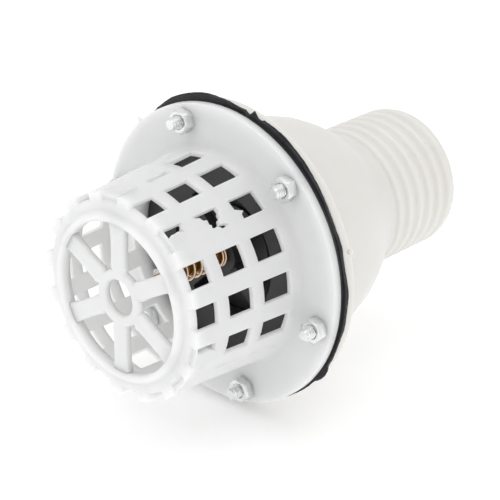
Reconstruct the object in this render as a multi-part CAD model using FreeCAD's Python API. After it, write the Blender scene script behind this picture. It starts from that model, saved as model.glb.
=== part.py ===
import FreeCAD, Part
import math
import os

os.makedirs("parts", exist_ok=True)

# All lengths are millimetres. Stations along the valve are written from the strainer flange's
# outer face, +X towards the hose; originX moves them all to the frame at the end.
originX = 105.0

# flanged joint
flangeRadius = 68.5
strainerFlangeThick = 4.2
seatPlateThick = 2.0
gasketThick = 1.8
gasketRadius = 71.4
hoseFlangeThick = 4.8
boltCount = 6
boltPitchRadius = 61.3
boltFirstAngle = 73.5
boltHoleRadius = 3.3
boltRadius = 3.0
boltHeadFlats = 10.0
boltHeadHigh = 4.0
headPocketDeep = 2.4
headPocketFlats = 10.5
nutHigh = 5.0
boltTipX = -9.6

# strainer basket
basketRadiusAtFlange = 49.3
basketTaper = 0.075
basketWall = 2.5
windowColumns = 16
windowFirstAngle = 84.2
windowHalfAngle = 6.35
windowRows = [(-20.0, -4.9), (-39.0, -25.9), (-55.9, -45.1)]
endRingX = -57.4
endRingThick = 3.6
endLipX = -60.0
openingRadius = 34.0
endRingRadius = 43.9
hubRadius = 12.6
hubHoleRadius = 8.2
spokeCount = 6
spokeWidth = 8.0
toothRadius = 46.3
toothHalfAngle = 4.6
toothLong = 4.0

# hose-side body: outer radius at stations along the axis
bellStations = [(23.0, 55.4), (34.0, 53.6), (44.0, 51.3), (54.0, 48.3), (62.0, 44.4), (70.0, 39.6)]
tailStartX = 80.0
tailEndX = 128.0
tailRootRadius = 32.6
barbRadius = 33.6
barbCount = 6
barbPitch = 7.2
barbFirstX = 87.0
barbLand = 1.6
tailBoreRadius = 28.6
bellWall = 3.4

# seat plate and its spider
plateRadius = 67.6
seatBoreRadius = 29.0
seatRingOuter = 33.0
seatTopX = 13.0
spiderSpokes = 4
spiderSpokeWidth = 5.0
spiderHubRadius = 8.8
spiderHubX = (2.6, 10.2)
guideBoreRadius = 3.06

# moving disc
stemRadius = 3.0
collarRadius = 5.2
collarX = (10.7, 11.6)
washerX = (11.6, 13.3)
washerRadius = 20.0
sealX = (13.3, 15.8)
sealRadius = 36.0
discX = (15.8, 18.2)
discRadius = 34.0
discBossRadius = 10.0
discBossX = 20.4
stemTopX = 28.0
stemTipX = -35.4

# spring on the strainer side of the hub
springFixedX = 2.6
springFreeX = -26.5
springMeanRadius = 4.9
springWireRadius = 0.6
springTurns = 5.6
endTurns = 1.3
springWasherThick = 1.4
springWasherRadius = 8.0

axisX = FreeCAD.Vector(1, 0, 0)
flangeStackX = strainerFlangeThick + seatPlateThick + gasketThick


def vec(x, y, z):
    return FreeCAD.Vector(x, y, z)


def polar(x, radius, degrees):
    a = math.radians(degrees)
    return vec(x, radius * math.cos(a), radius * math.sin(a))


def rod(x0, x1, radius, y=0.0, z=0.0):
    return Part.makeCylinder(radius, x1 - x0, vec(x0, y, z), axisX)


def tube(x0, x1, outer, inner):
    return rod(x0, x1, outer).cut(rod(x0 - 1, x1 + 1, inner))


def turned(points):
    # revolves a closed outline of (x, radius) pairs about the valve's axis
    wire = Part.makePolygon([vec(x, r, 0) for x, r in points + points[:1]])
    return Part.Face(wire).revolve(vec(0, 0, 0), axisX, 360)


def sector(x0, x1, r0, r1, middle, half):
    # a block of a ring: between two radii and two angles
    corners = [polar(0, r0, middle - half), polar(0, r1 / math.cos(math.radians(half)), middle - half),
               polar(0, r1 / math.cos(math.radians(half)), middle + half), polar(0, r0, middle + half)]
    corners = [vec(x0, c.y, c.z) for c in corners]
    return Part.Face(Part.makePolygon(corners + corners[:1])).extrude(vec(x1 - x0, 0, 0))


def bar(x0, x1, r0, r1, width, degrees):
    # a straight bar that lies along a radius
    box = Part.makeBox(x1 - x0, r1 - r0, width, vec(x0, r0, -width / 2))
    box.rotate(vec(0, 0, 0), axisX, degrees)
    return box


def boltAngles():
    return [boltFirstAngle + 360.0 / boltCount * i for i in range(boltCount)]


def drilled(shape, x0, x1):
    for degrees in boltAngles():
        c = polar(0, boltPitchRadius, degrees)
        shape = shape.cut(rod(x0 - 1, x1 + 1, boltHoleRadius, c.y, c.z))
    return shape


def hexPrism(x0, x1, flats, degrees, radius, chamferLow, chamferHigh):
    # a hexagon with one flat turned towards the valve's axis, its corners turned down at either end
    c = polar(0, radius, degrees)
    corner = flats / 2 / math.cos(math.radians(30))
    points = []
    for k in range(6):
        a = math.radians(degrees + 30 + 60 * k)
        points.append(vec(x0, corner * math.cos(a), corner * math.sin(a)))
    prism = Part.Face(Part.makePolygon(points + points[:1])).extrude(vec(x1 - x0, 0, 0))
    blank = turned([
        (x0, 0), (x0, corner - chamferLow), (x0 + chamferLow / 2 + 0.01, corner + 0.01),
        (x1 - chamferHigh / 2 - 0.01, corner + 0.01), (x1, corner - chamferHigh), (x1, 0)])
    prism = prism.common(blank)
    prism.translate(vec(0, c.y, c.z))
    return prism


def basketRadius(x):
    return basketRadiusAtFlange + basketTaper * x


def strainerBasket():
    wallEndX = endRingX + endRingThick
    outline = [
        (endRingX, openingRadius), (endRingX, endRingRadius), (windowRows[2][0], endRingRadius),
        (windowRows[2][0], basketRadius(windowRows[2][0])), (-2.4, basketRadius(-2.4)),
        (-0.8, basketRadiusAtFlange + 0.7), (0.0, basketRadiusAtFlange + 2.4),
        (0.0, flangeRadius - 0.6), (0.6, flangeRadius), (strainerFlangeThick, flangeRadius),
        (strainerFlangeThick, basketRadiusAtFlange - basketWall),
        (0.0, basketRadiusAtFlange - basketWall), (wallEndX, basketRadius(wallEndX) - basketWall),
        (wallEndX, openingRadius + 1.2),
    ]
    body = turned(outline)
    lip = turned([
        (endRingX + 0.5, openingRadius), (endRingX - 1.0, openingRadius + 0.1),
        (endLipX + 0.6, openingRadius + 0.7), (endLipX, openingRadius + 1.9),
        (endLipX + 0.3, openingRadius + 3.2), (endRingX - 0.9, openingRadius + 4.6),
        (endRingX + 0.5, openingRadius + 5.6)])
    body = body.fuse(lip)
    for i in range(windowColumns):
        middle = windowFirstAngle + 360.0 / windowColumns * (i + 0.5)
        body = body.fuse(sector(endRingX - 0.4, endRingX + toothLong, openingRadius + 6, toothRadius,
                                middle, toothHalfAngle))
    for i in range(spokeCount):
        degrees = 90.0 + 360.0 / spokeCount * i
        body = body.fuse(bar(endRingX - 0.6, endRingX + 3.2, hubHoleRadius + 2, openingRadius + 1.4,
                             spokeWidth, degrees))
    body = body.fuse(rod(endRingX - 0.9, endRingX + 3.6, hubRadius))
    body = body.cut(rod(endLipX - 1, endRingX + 6, hubHoleRadius))
    for i in range(windowColumns):
        middle = windowFirstAngle + 360.0 / windowColumns * i
        for x0, x1 in windowRows:
            deep = basketRadius(x0) - basketWall - 1.5
            body = body.cut(sector(x0, x1, deep, basketRadius(x1) + 2, middle, windowHalfAngle))
    return drilled(body, 0, strainerFlangeThick)


def barbOutline():
    points = []
    for i in range(barbCount):
        x = barbFirstX + barbPitch * i
        points += [(x - 2.0, tailRootRadius), (x - barbLand / 2, barbRadius),
                   (x + barbLand / 2, barbRadius), (x + barbPitch - 3.2, tailRootRadius)]
    return points


def hoseTailBody():
    x0 = flangeStackX
    x1 = x0 + hoseFlangeThick
    outer = [(x0, flangeRadius), (x1 - 0.6, flangeRadius), (x1, flangeRadius - 0.6), (x1, 55.5)]
    outer += bellStations
    outer += [(75.0, 36.2), (tailStartX, 33.6)]
    outer += barbOutline()
    outer += [(tailEndX - 0.6, 32.0), (tailEndX, 31.2)]
    inner = [(tailEndX, tailBoreRadius), (tailStartX - 4.0, tailBoreRadius)]
    inner += [(x - 1.2, r - bellWall) for x, r in reversed(bellStations)]
    inner += [(x0, 52.0)]
    body = drilled(turned(outer + inner), x0, x1)
    for degrees in boltAngles():
        body = body.cut(hexPrism(x1 - headPocketDeep, x1 + 1, headPocketFlats, degrees, boltPitchRadius, 0.0, 0.0))
    return body


def flangeGasket():
    x0 = strainerFlangeThick + seatPlateThick
    return drilled(tube(x0, x0 + gasketThick, gasketRadius, 52.5), x0, x0 + gasketThick)


def seatPlate():
    x0 = strainerFlangeThick
    x1 = x0 + seatPlateThick
    body = turned([
        (x0, seatBoreRadius), (x0, plateRadius), (x1, plateRadius), (x1, seatRingOuter + 1.2),
        (x1 + 1.2, seatRingOuter), (seatTopX - 2.0, seatRingOuter - 0.6), (seatTopX, 31.4),
        (seatTopX, 30.2), (seatTopX - 1.4, seatBoreRadius)])
    for i in range(spiderSpokes):
        body = body.fuse(bar(x0, x0 + 4.6, guideBoreRadius + 3, seatBoreRadius + 1, spiderSpokeWidth,
                             45.0 + 360.0 / spiderSpokes * i))
    body = body.fuse(rod(spiderHubX[0], spiderHubX[1], spiderHubRadius))
    body = body.cut(rod(spiderHubX[0] - 1, spiderHubX[1] + 1, guideBoreRadius))
    return drilled(body, x0, x1)


def flangeBolt(degrees):
    x1 = flangeStackX + hoseFlangeThick - headPocketDeep
    c = polar(0, boltPitchRadius, degrees)
    head = hexPrism(x1, x1 + boltHeadHigh, boltHeadFlats, degrees, boltPitchRadius, 0.0, 0.8)
    tip = Part.makeCone(boltRadius - 0.5, boltRadius, 0.5, vec(boltTipX, c.y, c.z), axisX)
    return head.fuse(rod(boltTipX + 0.5, x1 + 0.5, boltRadius, c.y, c.z)).fuse(tip)


def flangeNut(degrees):
    c = polar(0, boltPitchRadius, degrees)
    body = hexPrism(-nutHigh, 0.0, boltHeadFlats, degrees, boltPitchRadius, 0.8, 0.8)
    return body.cut(rod(-nutHigh - 1, 1, boltRadius, c.y, c.z))


def valveStem():
    body = rod(stemTipX, stemTopX, stemRadius)
    body = body.fuse(rod(collarX[0], collarX[1], collarRadius))
    return body


def centreNut(x0, x1, flats):
    body = hexPrism(x0, x1, flats, 0, 0, 0.8, 0.8)
    return body.cut(rod(x0 - 1, x1 + 1, stemRadius))


def discPlate():
    body = turned([
        (discX[0], stemRadius), (discX[0], discRadius - 0.5), (discX[0] + 0.5, discRadius),
        (discX[1] - 0.6, discRadius), (discX[1], discRadius - 0.8), (discX[1], discBossRadius + 1),
        (discBossX, discBossRadius), (discBossX, stemRadius)])
    return body


def springPath():
    # rest coils at both ends, an even pitch between them
    points = []
    x0 = springFixedX - springWireRadius - 0.05
    x1 = springFreeX + springWireRadius + 0.1
    closed = springWireRadius * 2.1 * endTurns
    total = springTurns + 2 * endTurns
    steps = int(total * 20)
    for i in range(steps + 1):
        turn = total * i / steps
        if turn < endTurns:
            x = x0 - closed * turn / endTurns
        elif turn > total - endTurns:
            x = x1 + closed * (total - turn) / endTurns
        else:
            x = x0 - closed + (x1 - x0 + 2 * closed) * (turn - endTurns) / springTurns
        points.append(polar(x, springMeanRadius, 360.0 * turn + 20.0))
    return points


def returnSpring():
    points = springPath()
    curve = Part.BSplineCurve()
    curve.interpolate(points)
    path = Part.Wire(curve.toShape())
    start = curve.tangent(curve.FirstParameter)[0]
    ring = Part.Wire(Part.makeCircle(springWireRadius, points[0], start))
    return path.makePipeShell([ring], True, True)


def export(shape, node):
    shape = shape.copy()
    shape.translate(vec(-originX, 0, 0))
    solids = shape.Solids
    shape = solids[0] if len(solids) == 1 else shape
    shape.exportStep("parts/" + node + ".step")
    print(node, len(solids), "solid(s)", round(shape.Volume), "mm3", "valid" if shape.isValid() else "INVALID")


export(strainerBasket(), "strainer_basket")
export(hoseTailBody(), "hose_tail_body")
export(flangeGasket(), "flange_gasket")
export(seatPlate(), "seat_plate")
for i, degrees in enumerate(boltAngles()):
    export(flangeBolt(degrees), "flange_bolt_" + str(i + 1))
    export(flangeNut(degrees), "flange_nut_" + str(i + 1))
export(valveStem(), "valve_stem")
export(tube(washerX[0], washerX[1], washerRadius, stemRadius), "disc_washer")
export(tube(sealX[0], sealX[1], sealRadius, stemRadius), "disc_seal")
export(discPlate(), "disc_plate")
export(centreNut(discBossX, discBossX + 5.0, 10.0), "disc_nut")
export(returnSpring(), "return_spring")
export(tube(springFreeX - springWasherThick, springFreeX, springWasherRadius, stemRadius), "spring_washer")
export(centreNut(springFreeX - springWasherThick - 5.0, springFreeX - springWasherThick, 10.0), "stem_lock_nut")
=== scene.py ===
import math
import random

import bmesh
import bpy
from mathutils import Matrix, Vector, noise


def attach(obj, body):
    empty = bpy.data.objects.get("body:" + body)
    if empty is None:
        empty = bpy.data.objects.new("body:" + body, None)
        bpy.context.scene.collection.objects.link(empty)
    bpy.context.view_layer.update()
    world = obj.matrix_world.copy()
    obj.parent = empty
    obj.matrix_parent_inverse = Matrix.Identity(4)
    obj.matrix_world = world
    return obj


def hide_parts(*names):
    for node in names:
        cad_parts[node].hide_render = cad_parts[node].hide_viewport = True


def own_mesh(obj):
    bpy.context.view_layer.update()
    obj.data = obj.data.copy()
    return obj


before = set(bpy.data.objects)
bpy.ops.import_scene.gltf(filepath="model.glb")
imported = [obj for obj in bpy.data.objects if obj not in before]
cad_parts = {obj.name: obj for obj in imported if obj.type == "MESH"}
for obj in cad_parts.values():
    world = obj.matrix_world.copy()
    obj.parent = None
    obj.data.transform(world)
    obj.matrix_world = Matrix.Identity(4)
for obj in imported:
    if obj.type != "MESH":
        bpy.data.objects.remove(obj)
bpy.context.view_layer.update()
mm = 0.001
originX = 105.0          # mm from the strainer flange's outer face to the frame's origin
axis = Vector((1, 0, 0))


def along(x, radius, degrees):
    # a point at station x (mm from the flange face), at a radius and an angle from +Y towards +Z
    a = math.radians(degrees)
    return Vector(((x - originX) * mm, radius * mm * math.cos(a), radius * mm * math.sin(a)))


def angleOf(point):
    return math.degrees(math.atan2(point.z, point.y)) % 360.0


def stationOf(point):
    return point.x / mm + originX


def radiusOf(point):
    return math.hypot(point.y, point.z) / mm


def outline(bm, points, degrees, closed=True):
    # a few vertices joined in order; a third number on a point rounds that corner
    verts = [bm.verts.new(along(p[0], p[1], degrees)) for p in points]
    ends = verts + verts[:1] if closed else verts
    for a, b in zip(ends, ends[1:]):
        bm.edges.new((a, b))
    for size in sorted({p[2] for p in points if len(p) > 2}):
        corners = [v for v, p in zip(verts, points) if len(p) > 2 and p[2] == size]
        bmesh.ops.bevel(bm, geom=corners, offset=size * mm, offset_type="OFFSET", segments=4,
                        profile=0.5, affect="VERTICES", material=-1)
    return bm.verts[:] + bm.edges[:]


def turn(points, steps, degrees=0.0, closed=True):
    # an outline spun once round the valve's axis; one that ends on the axis stays open
    bm = bmesh.new()
    geom = outline(bm, points, degrees, closed)
    bmesh.ops.spin(bm, geom=geom, cent=(0, 0, 0), axis=axis, angle=2 * math.pi, steps=steps, use_merge=True)
    bmesh.ops.remove_doubles(bm, verts=bm.verts[:], dist=0.00001)
    bmesh.ops.recalc_face_normals(bm, faces=bm.faces[:])
    return bm


def soften(bm, width, sharper=35.0, segments=2, where=None):
    edges = [e for e in bm.edges if len(e.link_faces) == 2
             and e.calc_face_angle(0.0) > math.radians(sharper) and (where is None or where(e))]
    bmesh.ops.bevel(bm, geom=edges, offset=width * mm, offset_type="OFFSET", segments=segments,
                    profile=0.5, affect="EDGES", clamp_overlap=True, material=-1)


def finished(name, bm, material, body, nodes=(), sharpAt=40.0, tidy=True):
    if tidy:
        bmesh.ops.remove_doubles(bm, verts=bm.verts[:], dist=0.000004)
        bmesh.ops.recalc_face_normals(bm, faces=bm.faces[:])
    mesh = bpy.data.meshes.new(name)
    bm.to_mesh(mesh)
    bm.free()
    mesh.polygons.foreach_set("use_smooth", [True] * len(mesh.polygons))
    mesh.set_sharp_from_angle(angle=math.radians(sharpAt))
    mesh.materials.append(material)
    piece = bpy.data.objects.new(name, mesh)
    bpy.context.scene.collection.objects.link(piece)
    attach(piece, body)
    if nodes:
        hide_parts(*nodes)
    return piece


def linear(code):
    # sRGB hex to the linear colour that the shader wants
    values = [int(code[i:i + 2], 16) / 255 for i in (1, 3, 5)]
    return tuple(v / 12.92 if v <= 0.04045 else ((v + 0.055) / 1.055) ** 2.4 for v in values) + (1.0,)


def add(tree, kind, settings=(), **links):
    # one node with its settings, and its inputs as values or as other nodes' outputs
    node = tree.nodes.new(kind)
    for key, value in dict(settings).items():
        setattr(node, key, value)
    for key, value in links.items():
        numbered = key[0] == "i" and key[1:].isdigit()
        socket = node.inputs[int(key[1:]) if numbered else key.replace("_", " ")]
        if isinstance(value, bpy.types.NodeSocket):
            tree.links.new(value, socket)
        else:
            socket.default_value = value
    return node


def newMaterial(name, **values):
    material = bpy.data.materials.new(name)
    material.use_nodes = True
    tree = material.node_tree
    shader = tree.nodes["Principled BSDF"]
    for key, value in values.items():
        shader.inputs[key.replace("_", " ")].default_value = value
    where = tree.nodes.new("ShaderNodeTexCoord").outputs["Object"]
    return material, tree, shader, where


def naturalPolypropylene(name, clear, cloudy, reach):
    # injection-moulded natural PP: milky, lets light a few mm in, satin from the mould, faint flow clouding
    m, tree, shader, where = newMaterial(name, Roughness=0.36, IOR=1.49)
    shader.subsurface_method = "RANDOM_WALK"
    shader.inputs["Subsurface Weight"].default_value = 0.9
    shader.inputs["Subsurface Radius"].default_value = (1.0, 0.99, 0.96)
    shader.inputs["Subsurface Scale"].default_value = reach
    cloud = add(tree, "ShaderNodeTexNoise", Vector=where, Scale=1 / 0.030, Detail=3.0, Roughness=0.55)
    tint = add(tree, "ShaderNodeMix", {"data_type": "RGBA"}, i0=cloud.outputs["Fac"], i6=linear(clear),
               i7=linear(cloudy))
    tree.links.new(tint.outputs[2], shader.inputs["Base Color"])
    # orange peel about 1.2 mm and grain about 0.3 mm, drawn at 3 and 0.6 mm so that they show
    peel = add(tree, "ShaderNodeTexNoise", Vector=where, Scale=1 / 0.0030, Detail=2.0)
    grain = add(tree, "ShaderNodeTexNoise", Vector=where, Scale=1 / 0.0006, Detail=1.0)
    blend = add(tree, "ShaderNodeMix", {"data_type": "FLOAT"}, i0=0.25, i2=peel.outputs["Fac"],
                i3=grain.outputs["Fac"])
    bump = add(tree, "ShaderNodeBump", Strength=0.35, Distance=0.00018, Height=blend.outputs[0])
    tree.links.new(bump.outputs[0], shader.inputs["Normal"])
    gloss = add(tree, "ShaderNodeMapRange", i0=cloud.outputs["Fac"], i1=0.3, i2=0.7, i3=0.32, i4=0.42)
    tree.links.new(gloss.outputs[0], shader.inputs["Roughness"])
    return m


def blackRubber():
    # cut nitrile sheet: dead black, soft matt face, dusty where it was handled
    m, tree, shader, where = newMaterial("blackRubber", Roughness=0.62, IOR=1.52)
    dust = add(tree, "ShaderNodeTexNoise", Vector=where, Scale=1 / 0.006, Detail=4.0, Roughness=0.6)
    tint = add(tree, "ShaderNodeValToRGB", i0=dust.outputs["Fac"])
    tint.color_ramp.elements[0].position = 0.35
    tint.color_ramp.elements[0].color = linear("#141417")
    tint.color_ramp.elements[1].position = 0.75
    tint.color_ramp.elements[1].color = linear("#2d2d31")
    tree.links.new(tint.outputs[0], shader.inputs["Base Color"])
    pores = add(tree, "ShaderNodeTexNoise", Vector=where, Scale=1 / 0.0009, Detail=3.0)
    bump = add(tree, "ShaderNodeBump", Strength=0.6, Distance=0.00012, Height=pores.outputs["Fac"])
    tree.links.new(bump.outputs[0], shader.inputs["Normal"])
    return m


def blackPolypropylene():
    # moulded black PP: charcoal, semi-matt, with a fine moulded grain
    m, tree, shader, where = newMaterial("blackPolypropylene", Roughness=0.45, IOR=1.49)
    cloud = add(tree, "ShaderNodeTexNoise", Vector=where, Scale=1 / 0.012, Detail=3.0)
    tint = add(tree, "ShaderNodeMix", {"data_type": "RGBA"}, i0=cloud.outputs["Fac"], i6=linear("#2c2c2e"),
               i7=linear("#3a3a3c"))
    tree.links.new(tint.outputs[2], shader.inputs["Base Color"])
    grain = add(tree, "ShaderNodeTexVoronoi", Vector=where, Scale=1 / 0.0011)
    bump = add(tree, "ShaderNodeBump", Strength=0.3, Distance=0.0001, Height=grain.outputs["Distance"])
    tree.links.new(bump.outputs[0], shader.inputs["Normal"])
    return m


def zincPlatedSteel():
    # cold-headed screws, bright zinc: pale blue-grey metal with a slightly broken sheen
    m, tree, shader, where = newMaterial("zincPlatedSteel", Metallic=1.0, Roughness=0.28)
    spangle = add(tree, "ShaderNodeTexVoronoi", Vector=where, Scale=1 / 0.0022)
    cloud = add(tree, "ShaderNodeTexNoise", Vector=where, Scale=1 / 0.004, Detail=3.0)
    tint = add(tree, "ShaderNodeMix", {"data_type": "RGBA"}, i0=cloud.outputs["Fac"], i6=linear("#f4f4f3"),
               i7=linear("#d9dbdc"))
    tree.links.new(tint.outputs[2], shader.inputs["Base Color"])
    gloss = add(tree, "ShaderNodeMapRange", i0=spangle.outputs["Distance"], i1=0.0, i2=0.8, i3=0.14, i4=0.28)
    tree.links.new(gloss.outputs[0], shader.inputs["Roughness"])
    bump = add(tree, "ShaderNodeBump", Strength=0.25, Distance=0.00006, Height=cloud.outputs["Fac"])
    tree.links.new(bump.outputs[0], shader.inputs["Normal"])
    return m


def copperedWire():
    # copper-coloured spring wire, drawn, with darker handling marks
    m, tree, shader, where = newMaterial("copperedWire", Metallic=1.0, Roughness=0.22)
    stain = add(tree, "ShaderNodeTexNoise", Vector=where, Scale=1 / 0.003, Detail=3.0)
    tint = add(tree, "ShaderNodeMix", {"data_type": "RGBA"}, i0=stain.outputs["Fac"], i6=linear("#fff0dc"),
               i7=linear("#f0c8a4"))
    tree.links.new(tint.outputs[2], shader.inputs["Base Color"])
    bump = add(tree, "ShaderNodeBump", Strength=0.2, Distance=0.00005, Height=stain.outputs["Fac"])
    tree.links.new(bump.outputs[0], shader.inputs["Normal"])
    return m


def drawnBrass():
    # drawn brass rod, slightly tarnished
    m, tree, shader, where = newMaterial("drawnBrass", Metallic=1.0, Roughness=0.3)
    stain = add(tree, "ShaderNodeTexNoise", Vector=where, Scale=1 / 0.005, Detail=3.0)
    tint = add(tree, "ShaderNodeMix", {"data_type": "RGBA"}, i0=stain.outputs["Fac"], i6=linear("#cfa35a"),
               i7=linear("#98703a"))
    tree.links.new(tint.outputs[2], shader.inputs["Base Color"])
    bump = add(tree, "ShaderNodeBump", Strength=0.2, Distance=0.00005, Height=stain.outputs["Fac"])
    tree.links.new(bump.outputs[0], shader.inputs["Normal"])
    return m


whitePlastic = naturalPolypropylene("naturalPolypropylene", "#fafaf9", "#f5f6f5", 0.016)
bodyPlastic = naturalPolypropylene("thickPolypropylene", "#e6e5e1", "#dedcd7", 0.004)
rubber = blackRubber()
blackPlastic = blackPolypropylene()
zinc = zincPlatedSteel()
copper = copperedWire()
brass = drawnBrass()
print("materials ready")


basket = {
    "flangeRadius": 68.5, "flangeThick": 4.2, "radiusAtFlange": 49.3, "taper": 0.075, "wall": 2.5,
    "ringX": -57.4, "ringThick": 3.6, "ringRadius": 42.6, "lipX": -60.0, "opening": 34.0,
    "columns": 16, "firstAngle": 84.2, "windowHalf": 6.35,
    "spread": [0.0, 3.0, 5.9, 6.35, 7.25, 11.25],    # degrees from a window's middle to its pillar's middle
    "rows": [(-20.0, -4.9), (-39.0, -25.9), (-55.9, -45.1)],
    "toothRadius": 46.3, "spokes": 6, "spokeWidth": 8.0, "spokeThick": 3.8,
    "hubRadius": 12.6, "hubHole": 8.2, "partingColumns": (2, 10), "partingHigh": 0.22,
    "nibAngle": 46.0, "footRadius": 55.0, "edgeRadius": 0.25,    # the flange starts outside footRadius
    # windows part filled by flash, as column and row, each with the hole left in the skin
    # as points along and across the window
    "torn": {
        (0, 1): [(0, 0.86), (0.2, 0.7), (0.55, 0.78), (1, 0.62), (1, 1), (0, 1)],
        (0, 2): [(0, 0.9), (0.4, 0.94), (0.7, 0.86), (1, 0.92), (1, 1), (0, 1)],
        (2, 0): [(0, 0), (1, 0), (1, 1), (0.12, 1), (0.13, 0.8), (0.25, 0.68), (0.08, 0.55), (0, 0.5)],
        (2, 1): [(0, 0), (1, 0), (1, 0.24), (0.92, 0.33), (0.9, 0.52), (0.79, 0.57), (0.71, 0.79),
                 (0.93, 0.85), (1, 0.87), (1, 1), (0.7, 1), (0.68, 0.95), (0.56, 0.82), (0.46, 0.87),
                 (0.36, 0.82), (0.4, 0.69), (0.33, 0.63), (0.36, 0.41), (0.22, 0.36), (0.16, 0.18),
                 (0, 0.12)],
        (2, 2): [(0.04, 0), (1, 0), (1, 0.08), (0.86, 0.25), (0.91, 0.41), (0.84, 0.45), (0.6, 0.33),
                 (0.39, 0.37), (0.24, 0.36), (0.04, 0.46)],
        (5, 2): [(0, 0), (1, 0), (1, 0.5), (0.6, 0.3), (0.3, 0.4), (0, 0.3)],
        (6, 0): [(0, 0), (1, 0), (1, 0.15), (0.7, 0.08), (0.3, 0.16), (0, 0.1)],
        (6, 1): [(0, 0), (1, 0), (1, 0.06), (0.5, 0.12), (0, 0.07)],
    },
    "filled": [(6, 2)],
}


def columnOf(degrees):
    # in columns of windows from the first one
    return (degrees - basket["firstAngle"]) / (360 / basket["columns"])


def basketRadius(x):
    return basket["radiusAtFlange"] + basket["taper"] * x


def offColumn(point):
    # degrees from the nearest column of windows, and the column's own angle
    steps = columnOf(angleOf(point))
    column = round(steps)
    return (steps - column) * 360 / basket["columns"], basket["firstAngle"] + 360 / basket["columns"] * column


def basketShell():
    b = basket
    backX = b["ringX"] + b["ringThick"]
    o = b["opening"]
    outer = [
        (b["ringX"] + 0.1, o, 0.3), (b["ringX"] - 1.4, o), (b["lipX"] + 0.6, o + 0.4), (b["lipX"], o + 1.4),
        (b["lipX"] + 0.2, o + 2.5), (b["lipX"] + 1.0, o + 3.2), (b["ringX"] - 0.6, o + 3.6),
        (b["ringX"] - 0.1, o + 4.4), (b["ringX"], o + 6.0),
        (b["ringX"], b["ringRadius"] - 0.9), (b["ringX"] + 0.8, b["ringRadius"]),
        (b["rows"][2][0], b["ringRadius"]),
    ]
    rows = sorted({x for row in b["rows"] for x in row})
    outer += [(x, basketRadius(x)) for x in rows]
    outer += [(-3.2, basketRadius(-3.2)), (-1.9, 49.5), (-0.8, 50.2), (-0.2, 51.4), (0.0, 53.0), (0.0, 60.0),
              (0.0, b["flangeRadius"], 0.8), (b["flangeThick"], b["flangeRadius"], 0.5),
              (b["flangeThick"], 60.0),
              (b["flangeThick"], b["radiusAtFlange"] - b["wall"], 0.4)]
    inner = [(x, basketRadius(x) - b["wall"]) for x in reversed(rows)]
    inner[-1] = (backX - 0.4, basketRadius(backX) - b["wall"])
    inner += [(backX, basketRadius(backX) - b["wall"] - 1.0), (backX, o + 4), (backX, o, 0.8)]
    perColumn = 2 * (len(b["spread"]) - 1)
    bm = turn(outer + inner, b["columns"] * perColumn, b["firstAngle"])
    for v in bm.verts:
        off, middle = offColumn(v.co)
        if radiusOf(v.co) < b["footRadius"]:
            step = round(abs(off) * perColumn / (360 / b["columns"]))
            v.co = along(stationOf(v.co), radiusOf(v.co), middle + math.copysign(b["spread"][step], off))
    return bm


def windowFaces(bm, column, row):
    low, high = basket["rows"][row]
    chosen = []
    for f in bm.faces:
        c = f.calc_center_median()
        inWall = radiusOf(c) > basket["opening"] + 4 and abs(f.normal.x) < 0.5
        if inWall and low + 1 < stationOf(c) < high - 1:
            off, middle = offColumn(c)
            if abs(off) < basket["windowHalf"] and round(columnOf(middle)) % basket["columns"] == column:
                chosen.append(f)
    return chosen


def openWindows(bm):
    for column in range(basket["columns"]):
        for row in range(3):
            if (column, row) not in basket["torn"] and (column, row) not in basket["filled"]:
                bmesh.ops.delete(bm, geom=windowFaces(bm, column, row), context="FACES")
                bmesh.ops.bridge_loops(bm, edges=[e for e in bm.edges if e.is_boundary])


def tearWindow(bm, column, row, points):
    # the skin of flash is as thick as the wall, with a ragged hole through it
    b = basket
    x0, x1 = b["rows"][row]
    middle = b["firstAngle"] + 360 / b["columns"] * column
    bmesh.ops.delete(bm, geom=windowFaces(bm, column, row), context="FACES")
    rim = [e for e in bm.edges if e.is_boundary]
    verts = []
    for u, v in points:
        x = x0 + (x1 - x0) * (0.03 + 0.94 * u)
        verts.append(bm.verts.new(along(x, basketRadius(x), middle + 0.94 * b["windowHalf"] * (2 * v - 1))))
    outer = [bm.edges.new(pair) for pair in zip(verts, verts[1:] + verts[:1])]
    made = bmesh.ops.extrude_edge_only(bm, edges=outer)["geom"]
    inner = [g for g in made if isinstance(g, bmesh.types.BMEdge)]
    for v in made:
        if isinstance(v, bmesh.types.BMVert):
            x = max(stationOf(v.co), b["ringX"] + b["ringThick"])
            v.co = along(x, basketRadius(x) - b["wall"], angleOf(v.co))
    out = along(originX, 1000, middle).normalized()
    for loop, outside in ((outer, True), (inner, False)):
        edges = []
        for e in rim:
            m = (e.verts[0].co + e.verts[1].co) / 2
            if (radiusOf(m) > basketRadius(stationOf(m)) - b["wall"] / 2) == outside:
                edges.append(e)
        bmesh.ops.triangle_fill(bm, edges=loop + edges, use_beauty=True, use_dissolve=False, normal=out)


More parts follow.
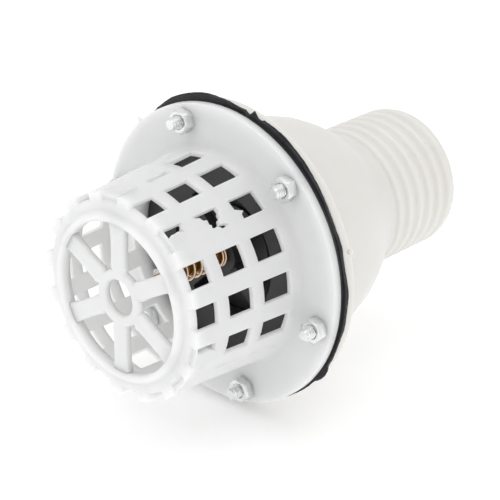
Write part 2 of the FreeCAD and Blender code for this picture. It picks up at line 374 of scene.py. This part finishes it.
def raiseTeeth(bm):
    # the end disc sits inside the wall: pillars run on round it as blunt teeth,
    # and two of them carry the mould's parting line
    b = basket
    rng = random.Random(5)
    tall = [b["toothRadius"] - rng.uniform(0.0, 0.5) for i in range(b["columns"])]
    endX = b["rows"][2][0]
    skinned = [c for c, row in list(b["torn"]) + b["filled"] if row == 2]
    for v in bm.verts:
        x, r, a = stationOf(v.co), radiusOf(v.co), angleOf(v.co)
        off = abs(offColumn(v.co)[0])
        pillar = int(columnOf(a) % b["columns"])
        column = round(columnOf(a)) % b["columns"]
        edge = r > b["ringRadius"] - 0.2
        if off > b["spread"][4] - 0.1:
            if x < b["ringX"] + 0.1 and r > b["ringRadius"] - 1.2:
                v.co = along(b["ringX"] - 0.2, b["ringRadius"] + 0.6, a)
            elif x < endX - 0.5 and edge:
                v.co = along(b["ringX"] - 0.3, tall[pillar] - 0.1, a)
            elif x < endX + 0.1 and edge:
                if r < b["ringRadius"] + 0.5:
                    v.co = along(x - 0.6, tall[pillar], a)
                else:
                    v.co = along(x + 3.5, basketRadius(x + 3.5) + 0.15, a)
            elif (off > b["spread"][5] - 0.1 and pillar in b["partingColumns"]
                    and basketRadius(x) - 0.2 < r < b["footRadius"] - 5):
                v.co = along(x, r + b["partingHigh"], a)
        elif (off < b["spread"][2] + 0.1 and abs(x - endX) < 0.05 and r > b["ringRadius"] + 1
                and column not in skinned):
            v.co = along(x + 0.3, b["ringRadius"] + 0.3, a)


def gateNib(x, radius, degrees):
    # the stub where the flange was cut from its runner
    bm = bmesh.new()
    bmesh.ops.create_cone(bm, cap_ends=True, segments=10, radius1=0.0012, radius2=0.0006, depth=0.0036)
    bmesh.ops.translate(bm, verts=bm.verts[:], vec=(0, 0, radius * mm))
    bmesh.ops.rotate(bm, verts=bm.verts[:], cent=(0, 0, 0),
                     matrix=Matrix.Rotation(math.radians(degrees - 90), 3, "X"))
    bmesh.ops.translate(bm, verts=bm.verts[:], vec=((x - originX) * mm, 0, 0))
    return bm


def spokeWheel():
    b = basket
    bm = bmesh.new()
    face = b["ringX"] - 0.7
    a = bm.verts.new(along(face, b["hubHole"], 75))
    c = bm.verts.new(along(face, b["hubRadius"], 75))
    edge = bm.edges.new((a, c))
    bmesh.ops.spin(bm, geom=[a, c, edge], cent=(0, 0, 0), axis=axis, angle=2 * math.pi, steps=36,
                   use_merge=True)
    bmesh.ops.remove_doubles(bm, verts=bm.verts[:], dist=0.00001)
    w = b["spokeWidth"] / 2
    stations = [(13.8, w + 0.7), (15.5, w + 0.1), (22.0, w - 0.1), (30.0, w + 0.1), (33.0, w + 0.7),
                (36.5, w + 1.2)]    # along the spoke, and its half width there
    for spoke in range(b["spokes"]):
        middle = 90 + 60 * spoke
        edges = []
        for e in bm.edges:
            m = (e.verts[0].co + e.verts[1].co) / 2
            off = (angleOf(m) - middle + 180) % 360 - 180
            if e.is_boundary and radiusOf(m) > b["hubHole"] + 2 and abs(off) < 15:
                edges.append(e)
        for radial, half in stations:
            made = bmesh.ops.extrude_edge_only(bm, edges=edges)["geom"]
            edges = [g for g in made if isinstance(g, bmesh.types.BMEdge)]
            verts = [g for g in made if isinstance(g, bmesh.types.BMVert)]
            verts.sort(key=lambda v: (angleOf(v.co) - middle + 180) % 360)
            for i, v in enumerate(verts):
                lateral = half * (2 * i / (len(verts) - 1) - 1)
                turned = middle + math.degrees(math.atan2(lateral, radial))
                v.co = along(face, math.hypot(radial, lateral), turned)
    top = bmesh.ops.extrude_face_region(bm, geom=bm.faces[:])["geom"]
    for v in top:
        if isinstance(v, bmesh.types.BMVert):
            v.co.x += b["spokeThick"] * mm
    bmesh.ops.recalc_face_normals(bm, faces=bm.faces[:])
    soften(bm, 1.1, 60, 3)
    return bm


def joined(parts):
    # several closed shells in one piece
    bm = bmesh.new()
    for part in parts:
        mesh = bpy.data.meshes.new("shell")
        part.to_mesh(mesh)
        part.free()
        bm.from_mesh(mesh)
        bpy.data.meshes.remove(mesh)
    return bm


def moulding(name, bm, material, node, sharpAt=50, tidy=False):
    return finished(name, bm, material, "valve_body", [node], sharpAt, tidy)


shell = basketShell()
openWindows(shell)
raiseTeeth(shell)
bmesh.ops.recalc_face_normals(shell, faces=shell.faces[:])
soften(shell, basket["edgeRadius"], 50, 2)
for (column, row), points in basket["torn"].items():
    tearWindow(shell, column, row, points)
bmesh.ops.recalc_face_normals(shell, faces=shell.faces[:])
print("open edges left in the basket:", sum(not e.is_manifold for e in shell.edges))
strainer = moulding("strainerBasket", shell, whitePlastic, "strainer_basket")
moulding("endSpokes", spokeWheel(), whitePlastic, "strainer_basket")
nib = gateNib(basket["flangeThick"] / 2, basket["flangeRadius"] + 0.5, basket["nibAngle"])
moulding("basketFlangeNib", nib, whitePlastic, "strainer_basket", 40, True)
print("strainer basket", len(strainer.data.polygons), "faces")


hoseBody = {
    "flangeRadius": 68.5, "flangeX": 8.0, "flangeThick": 4.8,
    "bell": [(23.0, 55.4), (34.0, 53.6), (44.0, 51.3), (54.0, 48.3), (62.0, 44.4),
             (70.0, 39.6), (75.0, 36.2)],
    "wall": 3.4, "bore": 28.6, "tailX": 80.0, "endX": 128.0, "root": 32.6, "crest": 33.6,
    "barbs": 6, "firstBarb": 87.0, "pitch": 7.2, "land": 1.6,
    "nibX": 11.6, "nibRadius": 68.6, "nibAngle": 164.0,
}


def hoseTail():
    h = hoseBody
    x0 = h["flangeX"]
    x1 = x0 + h["flangeThick"]
    points = [(x0, h["flangeRadius"], 0.6), (x1, h["flangeRadius"], 1.0), (x1, 55.5, 1.2)]
    points += h["bell"] + [(h["tailX"], 33.6)]
    for i in range(h["barbs"]):
        x = h["firstBarb"] + h["pitch"] * i
        points += [(x - 2.4, h["root"]), (x - 1.6, h["root"] + 0.3), (x - h["land"] / 2, h["crest"] - 0.05),
                   (x, h["crest"]), (x + h["land"] / 2, h["crest"] - 0.05), (x + 2.0, h["root"] + 0.45),
                   (x + h["pitch"] - 3.4, h["root"])]
    points += [(h["endX"], 31.6, 0.9), (h["endX"], h["bore"], 0.7), (h["tailX"] - 4, h["bore"])]
    points += [(x - 1.2, r - h["wall"]) for x, r in reversed(h["bell"])]
    points += [(x0, 52.0, 0.6)]
    return turn(points, 128)


hoseSide = moulding("hoseTailBody", hoseTail(), bodyPlastic, "hose_tail_body", tidy=True)
nib = gateNib(hoseBody["nibX"], hoseBody["nibRadius"], hoseBody["nibAngle"])
moulding("hoseFlangeNib", nib, bodyPlastic, "hose_tail_body", 40, True)
print("hose tail", len(hoseSide.data.polygons), "faces")


gasket = {
    "x": 6.2, "thick": 1.8, "inner": 52.5, "outer": 69.1, "reach": 71.3, "steps": 360,
    # (angle, half width in degrees, millimetres): where each sheet's cut edge stands out or is notched
    "front": [(75, 26, 1.5), (118, 16, 0.5), (216, 4, 0.9), (300, 30, 0.6), (20, 14, 0.5),
              (94, 3, -1.0), (101, 1.6, -1.2), (153, 9, -0.9), (167, 9, -0.8), (221, 3, -1.2)],
    "back": [(70, 24, 2.2), (103, 1.2, 1.4), (116, 18, 0.9), (216, 5, 1.3), (300, 34, 0.8), (10, 20, 0.4),
             (101, 1.8, -1.3), (106, 1.8, -1.2), (150, 12, -1.1), (169, 8, -1.0), (200, 6, -0.5)],
}


def cutEdge(degrees, sheet):
    # the knife wandered: slow waves, a few bulges and nicks
    g = gasket
    seed = 3.1 if sheet == "front" else 8.4
    r = g["outer"] + 0.35 * noise.noise(Vector((degrees * 0.11, seed, 0)))
    r += 0.22 * noise.noise(Vector((degrees * 0.7, seed + 4, 0)))
    for middle, width, extra in g[sheet]:
        off = abs((degrees - middle + 180) % 360 - 180)
        r += extra * max(0.0, 1 - (off / width) ** 2)
    return min(r, g["reach"])


def flangeGasket():
    g = gasket
    x1 = g["x"] + g["thick"]
    bm = turn([(g["x"], g["inner"]), (g["x"], 64.0), (g["x"], g["outer"]), (g["x"] + 0.85, g["outer"]),
               (g["x"] + 0.95, g["outer"]), (x1, g["outer"]), (x1, 64.0), (x1, g["inner"])], g["steps"])
    for v in bm.verts:
        if radiusOf(v.co) > 66:
            sheet = "front" if stationOf(v.co) < g["x"] + 0.9 else "back"
            v.co = along(stationOf(v.co), cutEdge(angleOf(v.co), sheet), angleOf(v.co))
    soften(bm, 0.12, 60, 1)
    return bm


finished("flangeGasket", flangeGasket(), rubber, "valve_body", ["flange_gasket"], 40)
print("gasket done")


screw = {"pitch": 1.0, "core": 2.35, "major": 3.0, "tipX": -9.6, "threadTo": 0.6, "headX": 10.4,
         "headHigh": 4.0, "flats": 10.0, "nutHigh": 5.0, "nutBore": 2.9,
         "count": 6, "circle": 61.3, "firstAngle": 73.5}


def threadRidge(bm, x0, x1, core, major, pitch, per=20):
    # a V-section ridge wound up the core, closed at both ends
    first = [bm.verts.new(along(x, r, 0)) for x, r in
             ((x0 + 0.06 * pitch, core - 0.1), (x0 + 0.5 * pitch, major), (x0 + 0.94 * pitch, core - 0.1))]
    face = bm.faces.new(first)
    turns = (x1 - x0) / pitch - 1
    steps = int(turns * per)
    bmesh.ops.spin(bm, geom=[face], cent=(0, 0, 0), axis=axis, angle=turns * 2 * math.pi, steps=steps,
                   dvec=Vector((turns * pitch * mm / steps, 0, 0)), use_merge=False)


def threadedRod(x0, x1, core, major, pitch, thread, sides=24):
    bm = turn([(x0, 0.0), (x0, core - 0.15), (x0 + 0.4, core + 0.1), (thread, core + 0.1),
               (thread + 0.01, major), (x1, major), (x1, 0.0)], sides, closed=False)
    ridge = bmesh.new()
    threadRidge(ridge, x0 + 0.1, thread, core, major, pitch)
    bmesh.ops.recalc_face_normals(ridge, faces=ridge.faces[:])
    return joined([bm, ridge])


def hexBlock(x0, x1, flats, hole, chamferLow, chamferHigh):
    # a six-sided block; the corners are turned down by a cone at the ends asked for
    bm = bmesh.new()
    bmesh.ops.create_circle(bm, cap_ends=False, segments=48, radius=1.0)
    for v in bm.verts:
        a = math.atan2(v.co.y, v.co.x)
        v.co = Vector((0, math.cos(a), math.sin(a)))
    ring = bm.edges[:]
    flat = flats / 2
    profile = []
    if chamferLow:
        profile += [(x0, "circle"), (x0, "cone")]
    else:
        profile += [(x0, "hex")]
    if chamferHigh:
        profile += [(x1, "cone"), (x1, "circle")]
    else:
        profile += [(x1, "hex")]

    def place(verts, x, kind):
        for v in verts:
            a = math.atan2(v.co.z, v.co.y)
            local = (math.degrees(a) + 360) % 60 - 30
            hexR = flat / math.cos(math.radians(local))
            if kind == "circle":
                v.co = along(x, flat * 0.93, math.degrees(a))
            elif kind == "hex":
                v.co = along(x, hexR, math.degrees(a))
            else:
                drop = (hexR - flat * 0.93) * 0.55
                v.co = along(x + (drop if x == x0 else -drop), hexR, math.degrees(a))

    place(bm.verts[:], *profile[0])
    for x, kind in profile[1:]:
        made = bmesh.ops.extrude_edge_only(bm, edges=ring)["geom"]
        ring = [g for g in made if isinstance(g, bmesh.types.BMEdge)]
        place([g for g in made if isinstance(g, bmesh.types.BMVert)], x, kind)
    loops = [e for e in bm.edges if e.is_boundary]
    if hole:
        low = [e for e in loops if abs(stationOf(e.verts[0].co) - x0) < 0.6]
        high = [e for e in loops if e not in low]
        rims = []
        for side, x in ((low, x0), (high, x1)):
            inward = 1 if x == x0 else -1
            for xx, r in ((x, hole + 0.55), (x + 0.55 * inward, hole)):
                made = bmesh.ops.extrude_edge_only(bm, edges=side)["geom"]
                side = [g for g in made if isinstance(g, bmesh.types.BMEdge)]
                for v in made:
                    if isinstance(v, bmesh.types.BMVert):
                        v.co = along(xx, r, angleOf(v.co))
            rims += side
        bmesh.ops.bridge_loops(bm, edges=rims)
    else:
        bmesh.ops.holes_fill(bm, edges=loops, sides=0)
    bmesh.ops.recalc_face_normals(bm, faces=bm.faces[:])
    soften(bm, 0.12, 25, 1, lambda e: radiusOf((e.verts[0].co + e.verts[1].co) / 2) > flat * 0.9)
    return bm


def movedTo(bm, degrees, radius):
    a = math.radians(degrees)
    bmesh.ops.rotate(bm, verts=bm.verts[:], cent=(0, 0, 0), matrix=Matrix.Rotation(a, 3, "X"))
    bmesh.ops.translate(bm, verts=bm.verts[:], vec=(0, radius * mm * math.cos(a), radius * mm * math.sin(a)))
    return bm


for i in range(screw["count"]):
    s = screw
    number = str(i + 1)
    degrees = s["firstAngle"] + 60 * i
    rod = threadedRod(s["tipX"], s["headX"] + 0.4, s["core"], s["major"], s["pitch"], s["threadTo"])
    head = hexBlock(s["headX"], s["headX"] + s["headHigh"], s["flats"], 0.0, False, True)
    bolt = movedTo(joined([rod, head]), degrees, s["circle"])
    finished("flangeBolt" + number, bolt, zinc, "valve_body", ["flange_bolt_" + number], 35,
             tidy=False)
    nut = movedTo(hexBlock(-s["nutHigh"], 0.0, s["flats"], s["nutBore"], True, True), degrees, s["circle"])
    finished("flangeNut" + number, nut, zinc, "valve_body", ["flange_nut_" + number], 35)
print("bolts and nuts done")


spring = {"fixedX": 2.6, "freeX": -26.5, "mean": 4.9, "wire": 0.6, "turns": 5.6, "endTurns": 1.3,
          "perTurn": 28, "travel": 12.0}


def coil():
    s = spring
    bm = bmesh.new()
    total = s["turns"] + 2 * s["endTurns"]
    x0 = s["fixedX"] - s["wire"] - 0.05
    x1 = s["freeX"] + s["wire"] + 0.1
    closed = s["wire"] * 2.1 * s["endTurns"]

    def middle(turn):
        if turn < s["endTurns"]:
            x = x0 - closed * turn / s["endTurns"]
        elif turn > total - s["endTurns"]:
            x = x1 + closed * (total - turn) / s["endTurns"]
        else:
            x = x0 - closed + (x1 - x0 + 2 * closed) * (turn - s["endTurns"]) / s["turns"]
        return along(x, s["mean"], 360 * turn + 20)

    steps = int(total * s["perTurn"])
    bmesh.ops.create_circle(bm, cap_ends=False, segments=12, radius=s["wire"] * mm)
    ring = bm.edges[:]
    base = [v.co.copy() for v in bm.verts]
    verts = bm.verts[:]
    for step in range(steps + 1):
        turn = total * step / steps
        p = middle(turn)
        ahead = (middle(min(turn + 0.01, total)) - middle(max(turn - 0.01, 0))).normalized()
        out = Vector((0, p.y, p.z)).normalized()
        side = ahead.cross(out)
        if step:
            made = bmesh.ops.extrude_edge_only(bm, edges=ring)["geom"]
            ring = [g for g in made if isinstance(g, bmesh.types.BMEdge)]
            verts = [g for g in made if isinstance(g, bmesh.types.BMVert)]
        for v, b in zip(verts, base):
            v.co = p + out * b.x + side * b.y
    bmesh.ops.holes_fill(bm, edges=[e for e in bm.edges if e.is_boundary], sides=0)
    return bm


springPiece = finished("returnSpring", coil(), copper, "valve_body", ["return_spring"], 60)
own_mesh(springPiece)
print("spring done")


finishes = {"seat_plate": blackPlastic, "disc_plate": blackPlastic, "disc_seal": rubber, "valve_stem": brass,
            "disc_washer": blackPlastic, "disc_nut": zinc, "spring_washer": zinc, "stem_lock_nut": zinc}
for node, material in finishes.items():
    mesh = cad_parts[node].data
    mesh.materials.clear()
    mesh.materials.append(material)
print("inner parts finished")


studio = {"floorZ": -72.2, "floorSize": 9.0, "world": 0.88,
          "camera": (-607.8, -495.4, 330.4), "target": (-93.08, -9.19, 1.64), "lens": 128.8}


def studioFloor():
    bm = bmesh.new()
    bmesh.ops.create_grid(bm, x_segments=8, y_segments=8, size=studio["floorSize"] / 2)
    bmesh.ops.translate(bm, verts=bm.verts[:], vec=(0, 0, studio["floorZ"] * mm))
    mesh = bpy.data.meshes.new("studioFloor")
    bm.to_mesh(mesh)
    bm.free()
    m, tree, shader, where = newMaterial("paleSeamlessPaper", Roughness=0.85, Emission_Color=(1, 1, 1, 1),
                                         Emission_Strength=0.19)
    fibre = add(tree, "ShaderNodeTexNoise", Vector=where, Scale=1 / 0.02, Detail=2.0)
    tint = add(tree, "ShaderNodeMix", {"data_type": "RGBA"}, i0=fibre.outputs["Fac"], i6=linear("#fbfbfb"),
               i7=linear("#f6f6f6"))
    tree.links.new(tint.outputs[2], shader.inputs["Base Color"])
    mesh.materials.append(m)
    floor = bpy.data.objects.new("studioFloor", mesh)
    bpy.context.scene.collection.objects.link(floor)


def softBox(name, place, target, size, power):
    light = bpy.data.lights.new(name, "AREA")
    light.shape = "RECTANGLE"
    light.size, light.size_y = size
    light.energy = power
    lamp = bpy.data.objects.new(name, light)
    lamp.location = place
    lamp.rotation_euler = (Vector(target) - Vector(place)).to_track_quat("-Z", "Y").to_euler()
    bpy.context.scene.collection.objects.link(lamp)


studioFloor()
centre = (-0.09, 0.0, 0.0)
softBox("keyLight", (-1.1, 0.2, 1.2), centre, (0.9, 0.9), 1.8)
softBox("fillLight", (-0.6, -1.5, 0.5), centre, (1.4, 1.0), 0.6)
softBox("topLight", (0.1, -0.2, 1.5), centre, (1.2, 1.0), 2.2)
softBox("endLight", (-1.5, 0.35, 0.25), centre, (0.7, 0.7), 0.5)

world = bpy.data.worlds.new("studioSky")
world.use_nodes = True
world.node_tree.nodes["Background"].inputs["Color"].default_value = (1, 1, 1, 1)
world.node_tree.nodes["Background"].inputs["Strength"].default_value = studio["world"]
bpy.context.scene.world = world
bpy.context.scene.view_settings.view_transform = "Standard"

cameraData = bpy.data.cameras.new("camera")
cameraData.lens = studio["lens"]
cameraData.sensor_width = 36.0
camera = bpy.data.objects.new("camera", cameraData)
camera.location = Vector(studio["camera"]) * mm
camera.rotation_euler = (Vector(studio["target"]) * mm - camera.location).to_track_quat("-Z", "Y").to_euler()
bpy.context.scene.collection.objects.link(camera)
bpy.context.scene.camera = camera
print("studio ready")
